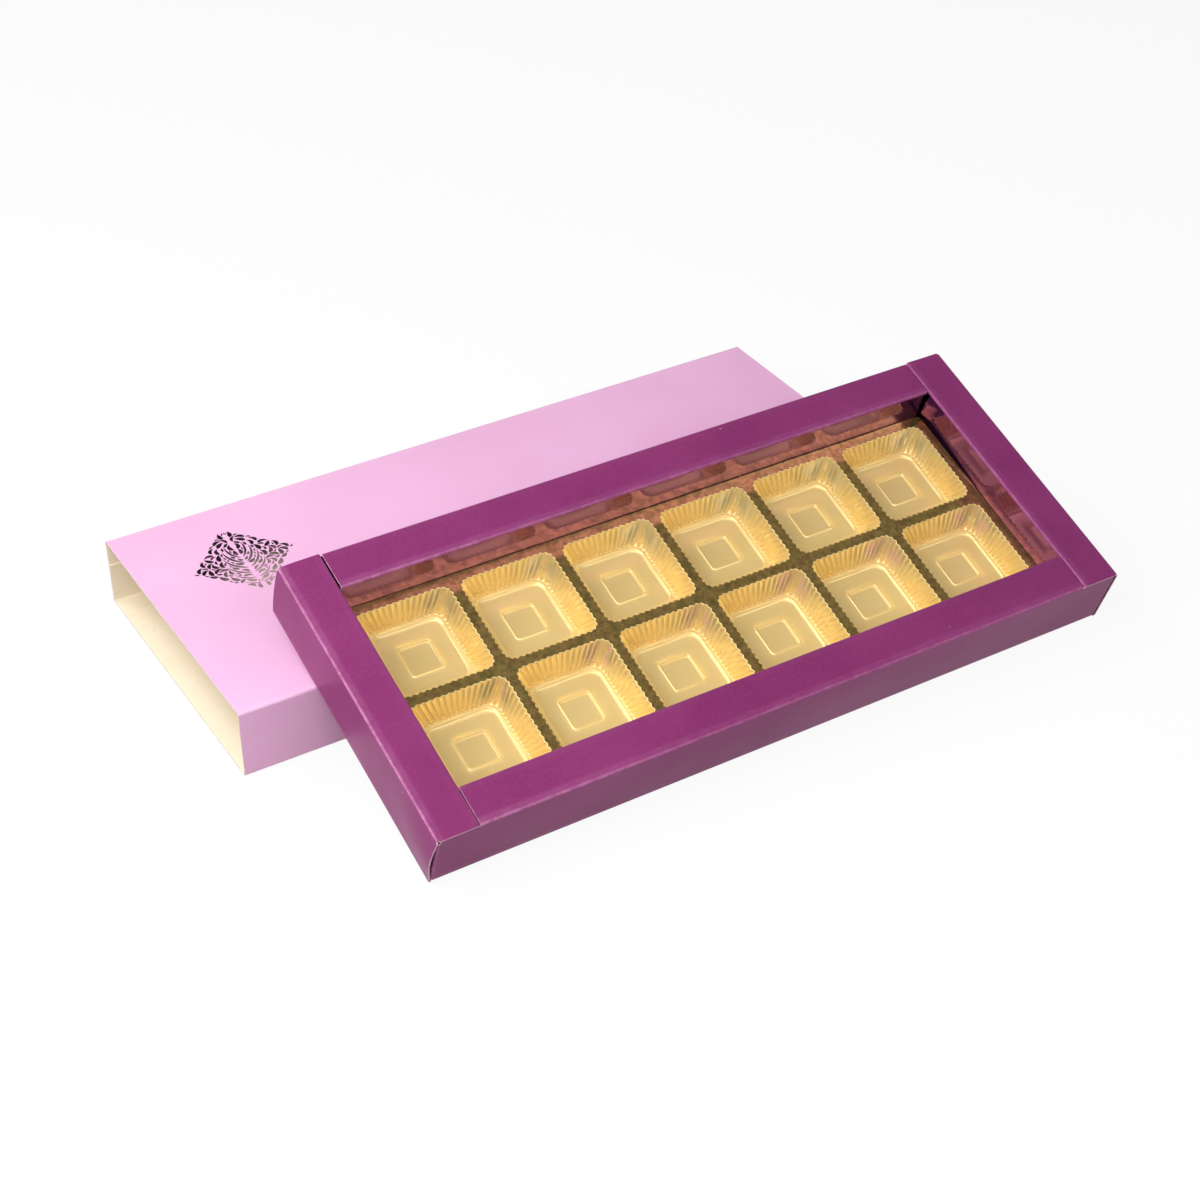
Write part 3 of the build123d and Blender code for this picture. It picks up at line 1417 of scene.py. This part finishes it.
        def bow(at: Vector) -> Vector:
            """The foot of the wall swings back into the hollow near its ends.

            Args:
                at: The point.

            Returns:
                Its new place.
            """
            foot = smooth(at.z, self.web_level, 2.0)
            end, swing = run - start, self.foot_swing_run
            ends = smooth(at.x, start + swing, start) + smooth(at.x, end - swing, end)
            back = self.foot_swing * ends * foot + self.foot_lean * (1 + waver(at, 30, 5.7)) * foot
            along = at.x
            if side is BoxSide.RIGHT:
                loose = smooth(at.x, end - self.wall_gape_run, end)
                # The wall is bent back below a crease that climbs towards the corner
                crease = self.web_level + 0.4 + 2.6 * loose
                back += self.wall_gape * loose * smooth(at.z, crease + 0.3, crease - 2.6)
                # It stops short of the corner, and its end curls towards the insert
                along -= self.right_short * smooth(at.x, end - self.short_run, end)
                back -= self.end_curl * smooth(at.x, end - self.end_curl_run, end) * smooth(at.z, head, head - 3)
            if side is BoxSide.BACK:
                along += self.back_short * smooth(at.x, start + self.short_run, start)
            return Vector((along, at.y - back, at.z))

        self.dress(sheet, f"{side.word}_inner_wall", self.side_frame(side), lambda at: 0.0, bow, glossy=True)

    def build_corner_flap(self, corner: str, way_x: int, way_y: int) -> None:
        """A flap that folds off the end of a long wall and stands behind the end wall.

        Args:
            corner: The corner's name.
            way_x: 1 at the left and -1 at the right.
            way_y: 1 at the front and -1 at the back.
        """
        foot, head = self.crease, self.height - self.crease - self.flap_relief
        crease = self.crease
        # The flap is drawn on its back, X along it, and turned up afterwards
        low, high = (foot, crease, 0), (head, self.flap_length, 0)
        sheet = BoardSheet(f"{corner}_flap_board", low, high, Facing.UP, 3.0)
        sheet.fold(up_to(Y, crease), (0, crease, -crease), 90, crease)

        def bow(at: Vector) -> Vector:
            """The flap swings a little away from the end wall at its tip."""
            return Vector((at.x, at.y, at.z - self.flap_swing * smooth(at.y, crease + 2, self.flap_length)))

        corner_at = Vector((-way_x * (self.length / 2 - self.board), -way_y * self.width / 2, 0))
        turned = axes(UPWARDS, (0, way_y, 0), (-way_x, 0, 0))
        at = self.leaning() @ Matrix.Translation(corner_at) @ turned
        self.dress(sheet, f"{corner}_corner_flap", at, lambda p: 0.7, bow)


# THE INSERT


@dataclass(frozen=True)
class Ring:
    """One level of a cup's form: a rounded square, its depth and how deep its flutes are there."""

    half: float
    corner: float
    depth: float
    flute: float = 0.0


@dataclass
class GoldInsert:
    """The formed film: a web with twelve fluted cups."""

    box: FramedBox
    columns: int = 6
    rows: int = 2
    pitch: float = 35.0
    border: float = 1.38
    film: float = 0.3
    cup_film: float = 0.16
    lip: float = 0.35
    crumple: float = 0.3
    crumple_size: float = 1.9
    dents: float = 0.09
    dent_size: float = 9.0
    floor_waves: float = 0.045
    web_waves: float = 0.16
    web_ripples: float = 0.05
    pad_rise: float = 0.28
    edge_rise: float = 0.04
    flutes: int = 12
    corner_flutes: int = 3
    flute_points: int = 8
    flute_change: float = 0.14
    rings: tuple[Ring, ...] = tuple(
        Ring(*row)
        for row in (
            (15.85, 3.35, 0.0, 0.2), (15.77, 3.3, 0.02, 0.25), (15.7, 3.22, 0.1, 0.25), (15.62, 3.12, 0.3, 0.26),
            (15.45, 3.06, 0.7, 0.3), (15.1, 3.05, 1.4, 0.35), (14.7, 3.1, 2.3, 0.39), (14.28, 3.2, 3.25, 0.42),
            (13.85, 3.3, 4.2, 0.43), (13.42, 3.4, 5.2, 0.43), (13.0, 3.5, 6.2, 0.42), (12.7, 3.55, 6.9, 0.38),
            (12.52, 3.6, 7.25, 0.24), (12.4, 3.6, 7.42, 0.12), (12.22, 3.6, 7.5), (12.0, 3.6, 7.44),
            (11.78, 3.6, 7.36), (11.58, 3.55, 7.42), (11.4, 3.5, 7.64), (11.15, 3.45, 7.9), (10.75, 3.4, 8.06),
            (10.2, 3.3, 8.18), (9.6, 3.1, 8.26), (9.0, 2.9, 8.3), (7.5, 2.1, 8.3), (5.8, 1.35, 8.3),
            (5.66, 1.3, 8.22), (5.5, 1.25, 8.0), (5.3, 1.15, 7.96), (5.12, 1.1, 8.12), (4.98, 1.05, 8.48),
            (4.82, 1.0, 8.65), (4.5, 0.9, 8.7),
        )
    )

    @property
    def quarter(self) -> int:
        """Points in a quarter of a cup's rim."""
        return (self.flutes + self.corner_flutes) * self.flute_points

    def strength(self, step: int) -> float:
        """How strong the flute at a point of a rim is: each is a little deeper or shallower than the next."""
        return 1 + self.flute_change * noise.noise(Vector((step / self.flute_points * 0.9, 0.5, 0.5)))

    def all_round(self, place: Callable[[int, int], Vector]) -> list[Vector]:
        """Points all round a form, each given by its quarter and its step as it would lie in the first quarter."""
        turns = [Matrix.Rotation(quarter * pi / 2, 3, "Z") for quarter in range(4)]
        return [turn @ place(quarter, step) for quarter, turn in enumerate(turns) for step in range(self.quarter)]

    def ring_points(self, ring: Ring) -> list[Vector]:
        """Goes round one level of a cup.

        Args:
            ring: The level.

        Returns:
            Its points.
        """
        half_corner = self.corner_flutes * self.flute_points // 2
        straight = self.flutes * self.flute_points
        inner = ring.half - ring.corner

        def place(quarter: int, step: int) -> Vector:
            """Finds a point on half a corner, on the straight side or on half the next corner.

            Args:
                quarter: Its quarter.
                step: Its step there.

            Returns:
                The point as it lies in the first quarter.
            """
            past = step - half_corner
            along = min(max(past, 0), straight)
            angle = pi / 2 + pi / 4 * (past - along) / half_corner
            wave = cos(tau * past / self.flute_points) * self.strength(quarter * self.quarter + step)
            middle = Vector((inner * (1 - 2 * along / straight), inner, -ring.depth))
            return middle + Vector((cos(angle), sin(angle), 0)) * (ring.corner + ring.flute * wave)

        return self.all_round(place)

    def stack(self, name: str, levels: int, closed: bool) -> Piece:
        """Draws a round of points down, level by level, as the blank of a ringed form.

        Args:
            name: The piece's name.
            levels: How many levels it has.
            closed: Whether its last level gets a face.

        Returns:
            The blank, whose points shape_stack then moves.
        """
        pick()
        bpy.ops.mesh.primitive_circle_add(vertices=4 * self.quarter, radius=10, fill_type="NOTHING")
        piece = fresh(name)
        with editing(piece, whole=True):
            for _ in range(levels - 1):
                bpy.ops.mesh.extrude_edges_move(TRANSFORM_OT_translate={"value": (0, 0, -1)})
            if closed:
                bpy.ops.mesh.edge_face_add()
        return piece

    def shape_stack(self, piece: Piece, levels: list[list[Vector]]) -> None:
        """Moves each point of a blank to its place on the form.

        Args:
            piece: The blank.
            levels: The points of each level, from the top down.
        """
        count = 4 * self.quarter

        def move(at: Vector) -> Vector:
            """Finds a point's level by its height and its step by its angle."""
            step = round((atan2(at.y, at.x) - pi / 4) / tau * count) % count
            return levels[round(-at.z)][step].copy()

        move_points(piece, move)

    def unevenness(self, at: Vector) -> float:
        """How far the web rises, by slow waves and by small pads where its bars cross.

        Args:
            at: A point of its plan.

        Returns:
            The rise there.
        """
        columns = (self.columns - 1) // 2
        near_x = min(max(round(at.x / self.pitch), -columns), columns) * self.pitch
        away = abs(at.x - near_x) + abs(at.y)
        pad = self.pad_rise * smooth(away, 3.3, 2.4)
        return pad + self.web_waves * waver(at, 26, 1.3) + self.web_ripples * waver(at, 6, 8.1)

    def build(self) -> None:
        """Builds the web, and one cup that is copied to its twelve places."""
        place = self.box.leaning() @ Matrix.Translation((0, 0, self.box.web_level))
        self.build_web(place)
        master = self.stack("cup_blank", len(self.rings), closed=True)
        for row in range(self.rows):
            for column in range(self.columns):
                self.build_cup(master, row, column, place)
        bpy.data.objects.remove(master)

    def cup_middle(self, row: int, column: int) -> Vector:
        """The middle of a cup in the plan of the insert."""
        across = (column - (self.columns - 1) / 2) * self.pitch
        return Vector((across, (row - (self.rows - 1) / 2) * self.pitch, 0))

    def build_cup(self, master: Piece, row: int, column: int, place: Matrix) -> None:
        """Copies the cup, gives the copy its own small dents, and places it.

        Args:
            master: The blank.
            row: 0 at the front.
            column: 0 at the left.
            place: The place of the insert.
        """
        cup = copy_of(master)
        cup.name = cup.data.name = f"gold_cup_{'front' if row == 0 else 'back'}_{column + 1}"
        middle = self.cup_middle(row, column)
        seed = 10.0 + row * 7.3 + column * 3.7

        self.shape_stack(cup, [self.ring_points(ring) for ring in self.rings])
        store(cup, "depth", lambda at: smooth(-at.z, 3.6, 7.6))

        def dent(at: Vector) -> Vector:
            """Slow dents of the thin film, weakest at the rim, where the web holds it.

            Args:
                at: The point.

            Returns:
                Its new place.
            """
            low = smooth(-at.z, 0.3, 3)
            wall = low * (1 - smooth(-at.z, 7.5, 8.2))
            push = self.dents * wall * waver(at, self.dent_size, seed)
            near_corner = min(abs(at.x), abs(at.y)) / max(abs(at.x), abs(at.y), NEAR)
            creased = waver(at, self.crumple_size, seed + 9)
            push += self.crumple * wall * smooth(near_corner, 0.72, 0.93) * creased
            tilt = self.floor_waves * low * (waver(at, 14, seed + 2) + waver(at, 5, seed + 5) * 0.5)
            out = Vector((at.x, at.y, 0)).normalized()
            sheet = self.unevenness(at + middle) * (1 - smooth(-at.z, 0.5, 5))
            return at + out * push + Vector((0, 0, tilt + sheet))

        move_points(cup, dent)
        cup.data.materials.append(CUP_GOLD.material())
        face_way(cup, Vector((0, 0, -self.rings[-1].depth)), UPWARDS)
        apply_modifier(cup, "SOLIDIFY", thickness=self.cup_film, offset=-1)
        smooth_faces(cup, 60)
        settle(cup, place @ Matrix.Translation(middle), Body.INSERT, Slot.INSERT, "gold_insert")

    def build_web(self, place: Matrix) -> None:
        """The flat film between the cups, whose openings meet the cups' rims point by point.

        Args:
            place: The place of the insert.
        """
        half = self.pitch / 2
        rim = self.rings[0]

        def square(reach: float) -> list[Vector]:
            """As many points round a square."""
            return self.all_round(lambda _, step: Vector((reach * (1 - 2 * step / self.quarter), reach, 0)))

        levels = [
            self.ring_points(rim),
            self.ring_points(Ring(rim.half + 0.3, rim.corner + 0.25, 0)),
            self.ring_points(Ring(rim.half + 0.75, rim.corner + 0.4, 0)),
            square(half - self.lip),
            square(half),
        ]
        blank = self.stack("web_blank", len(levels), closed=False)
        self.shape_stack(blank, levels)
        cells = []
        for row in range(self.rows):
            for column in range(self.columns):
                cell = copy_of(blank)
                cell.data.transform(Matrix.Translation(self.cup_middle(row, column)))
                cells.append(cell)
        bpy.data.objects.remove(blank)
        web = join(cells, "insert_web")
        edge_x = self.columns * half
        edge_y = self.rows * half

        def shape(at: Vector) -> Vector:
            """Lets the outer edge out to the film's size and lays the film a little unevenly.

            Args:
                at: The point.

            Returns:
                Its new place.
            """
            near_x, near_y = edge_x - self.lip - NEAR, edge_y - self.lip - NEAR
            out_x = self.border * (1 if at.x > near_x else -1 if at.x < -near_x else 0)
            out_y = self.border * (1 if at.y > near_y else -1 if at.y < -near_y else 0)
            both = 0.8 if out_x and out_y else 1
            on_edge = abs(at.x) > edge_x - NEAR or abs(at.y) > edge_y - NEAR
            rise = self.unevenness(at) + (self.edge_rise if on_edge else 0.0)
            return Vector((at.x + out_x * both, at.y + out_y * both, rise))

        with editing(web, whole=True):
            bpy.ops.mesh.remove_doubles(threshold=NEAR)
        move_points(web, shape)
        store(web, "depth", lambda at: smooth(at.z, -0.1, 0.3))
        web.data.materials.append(WEB_GOLD.material())
        face_way(web, Vector((0, half, 0)), UPWARDS)
        apply_modifier(web, "SOLIDIFY", thickness=self.film, offset=-1)
        smooth_faces(web, 40)
        settle(web, place, Body.INSERT, Slot.INSERT, "gold_insert")


# THE STUDIO


@dataclass
class Studio:
    """A plain white floor, soft lamps and the photograph's camera."""

    camera_at: Point = (-0.29596, -0.53346, 0.42690)
    camera_way: Point = (0.42422505, 0.69091032, -0.58538538)
    camera_roll: float = 0.22
    lens: float = 68.147
    lamps_aim: Point = (0.0, -0.05, 0.02)
    lamps: tuple[tuple[str, Point, Pair, float], ...] = (
        ("left", (-0.36, -0.14, 0.38), (0.42, 0.42), 1.9),
        ("front", (-0.1, -0.7, 0.9), (0.8, 0.8), 4.0),
        ("back", (-0.35, 0.45, 0.55), (0.45, 0.45), 2.4),
        ("low", (0.5, -0.8, 0.6), (0.56, 0.26), 1.4),
    )
    floor_level: float = -0.0003
    floor_flat: float = 2.5
    floor_end: float = 4.0
    floor_droop: float = 0.4

    def build(self) -> None:
        """Adds the floor, the world, the lamps and the camera."""
        self.build_floor()
        self.build_world()
        for lamp in self.lamps:
            self.lamp(*lamp)
        self.build_camera()

    def build_floor(self) -> None:
        """A wide floor just under the object, gridded so that its edge can droop out of sight."""
        pick()
        bpy.ops.mesh.primitive_grid_add(x_subdivisions=24, y_subdivisions=24, size=2 * self.floor_end)
        floor = fresh("studio_floor")

        def droop(at: Vector) -> Vector:
            """Lowers a point that is far from the middle."""
            far = smooth(hypot(at.x, at.y), self.floor_flat, self.floor_end)
            return Vector((at.x, at.y, self.floor_level - self.floor_droop * far**2))

        move_points(floor, droop)
        smooth_faces(floor, 60)
        floor.data.materials.append(PAPER.material())

    def build_world(self) -> None:
        """Weak even light from above, and plain white behind the object."""
        world = bpy.data.worlds.new("studio_light")
        bpy.context.scene.world = world
        world.use_nodes = True
        nodes = Nodes(world.node_tree)
        way = nodes.add("ShaderNodeTexCoord")["Generated"]
        up = nodes.add("ShaderNodeSeparateXYZ", None, {0: way})["Z"]
        stops = [(level, (part,) * 3) for level, part in ((0.0, 0.1), (0.3, 0.1), (0.5, 0.16), (1.0, 0.16))]
        sky = nodes.add("ShaderNodeValToRGB", {"stops": stops}, {0: up})["Color"]
        light = nodes.add("ShaderNodeBackground", None, {"Color": sky, "Strength": 1.0})[0]
        white = nodes.add("ShaderNodeBackground", None, {"Color": (1.0, 1.0, 1.0), "Strength": 1.0})[0]
        seen = nodes.add("ShaderNodeLightPath")["Is Camera Ray"]
        both = nodes.add("ShaderNodeMixShader", None, {0: seen, 1: light, 2: white})[0]
        nodes.output(both, "ShaderNodeOutputWorld")

    def lamp(self, name: str, at: Point, size: Pair, power: float) -> None:
        """Adds a soft lamp that shines at the box and isn't seen itself.

        Args:
            name: The lamp's name.
            at: Its place in metres.
            size: Its width and height in metres.
            power: Its power in watts.
        """
        data = bpy.data.lights.new(name, "AREA")
        data.shape = "RECTANGLE"
        data.size, data.size_y = size
        data.energy = power
        lamp = bpy.data.objects.new(name, data)
        bpy.context.collection.objects.link(lamp)
        lamp.visible_camera = False
        lamp.matrix_world = aimed(at, Vector(self.lamps_aim) - Vector(at))

    def build_camera(self) -> None:
        """The photograph's camera, found by fitting the box's corners."""
        data = bpy.data.cameras.new("photo_camera")
        data.lens = self.lens
        data.sensor_width = 36.0
        data.clip_start = 0.02
        data.clip_end = 50.0
        camera = bpy.data.objects.new("photo_camera", data)
        bpy.context.collection.objects.link(camera)
        roll = Matrix.Rotation(radians(self.camera_roll), 4, "Z")
        camera.matrix_world = aimed(self.camera_at, Vector(self.camera_way)) @ roll
        bpy.context.scene.camera = camera


def main() -> None:
    """Builds and dresses every piece, then sets up the studio."""
    logging.basicConfig(level=logging.INFO, format="%(name)s: %(message)s")
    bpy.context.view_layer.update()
    sleeve = Sleeve()
    sleeve.build()
    FoilStamp(sleeve).build()
    box = FramedBox()
    box.build()
    GoldInsert(box).build()
    Studio().build()
    bpy.context.scene.view_settings.view_transform = "Standard"
    bpy.context.view_layer.update()


if __name__ == "__main__":
    main()
